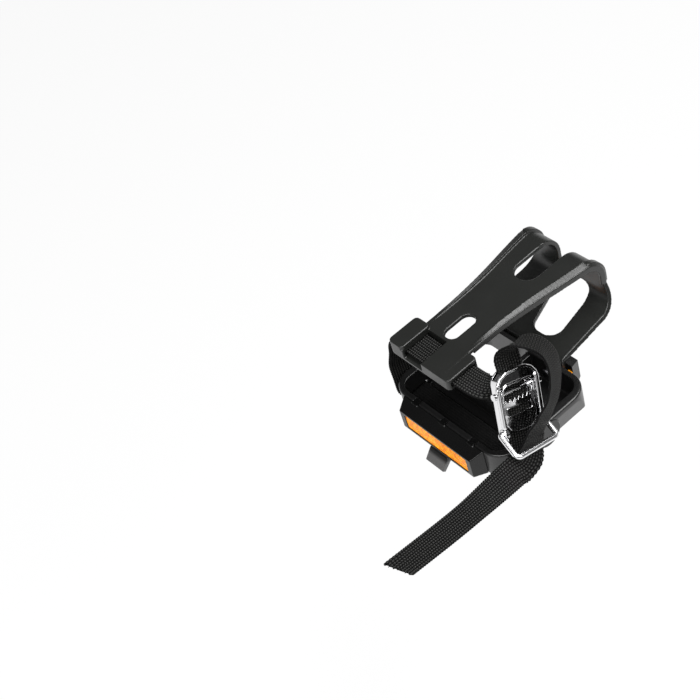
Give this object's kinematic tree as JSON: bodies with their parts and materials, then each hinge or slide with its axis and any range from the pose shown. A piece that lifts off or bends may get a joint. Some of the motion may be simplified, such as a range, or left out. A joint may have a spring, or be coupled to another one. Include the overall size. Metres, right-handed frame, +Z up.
{
  "type": "platform pedal",
  "caption": "Resin platform pedal on a threaded spindle, with amber reflectors, a moulded toe clip and a woven toe strap closed by a cam buckle.",
  "frame": {"origin": "on the spindle's axis, at the shoulder that seats on the crank", "axes": "+X along the spindle, away from the crank; +Y forward, towards the toe; +Z up"},
  "size_m": [0.1487, 0.2301, 0.1042],
  "materials": {
    "steel": "turned and plated",
    "bearing_steel": "ground",
    "seal_rubber": "moulded",
    "body_resin": "satin moulded",
    "reflector_resin": "satin moulded",
    "amber_lens": "prismatic",
    "screw_steel": "zinc plated",
    "clip_resin": "satin moulded",
    "webbing": "plain woven",
    "plated_steel": "bright plated"
  },
  "bodies": {
    "spindle": {"spindle": "steel", "inner_bearing_balls": "bearing_steel", "outer_bearing_balls": "bearing_steel", "outer_cone": "steel", "lock_washer": "steel", "lock_nut": "steel"},
    "pedal": {"inner_bearing_cup": "bearing_steel", "outer_bearing_cup": "bearing_steel", "spindle_seal": "seal_rubber", "pedal_body": "body_resin", "dust_cap": "body_resin", "rear_reflector_housing": "reflector_resin", "front_reflector_housing": "reflector_resin", "rear_reflector_lens": "amber_lens", "front_reflector_lens": "amber_lens", "rear_reflector_screws": "screw_steel", "rear_reflector_nuts": "screw_steel", "toe_clip_screws": "screw_steel", "toe_clip_nuts": "screw_steel", "toe_clip": "clip_resin", "toe_strap": "webbing", "buckle_frame": "plated_steel", "buckle_pin": "plated_steel", "buckle_spring": "plated_steel", "strap_rivet": "plated_steel"},
    "buckle_cam": {"buckle_cam": "plated_steel"},
    "buckle_bail": {"buckle_bail": "plated_steel"}
  },
  "joints": [
    {"name": "pedal_spin", "type": "hinge", "parent": "spindle", "child": "pedal", "pos_m": [0, 0, 0], "axis": [1, 0, 0], "continuous": true},
    {"name": "cam_lift", "type": "hinge", "parent": "pedal", "child": "buckle_cam", "pos_m": [0.11069, -0.01262, 0.05257], "axis": [-0.0901, -0.9503, 0.298], "range_deg": [0, 10]},
    {"name": "bail_swing", "type": "hinge", "parent": "pedal", "child": "buckle_bail", "pos_m": [0.1176, -0.02026, 0.03029], "axis": [-0.0901, -0.9503, 0.298], "range_deg": [-6, 10]}
  ]
}
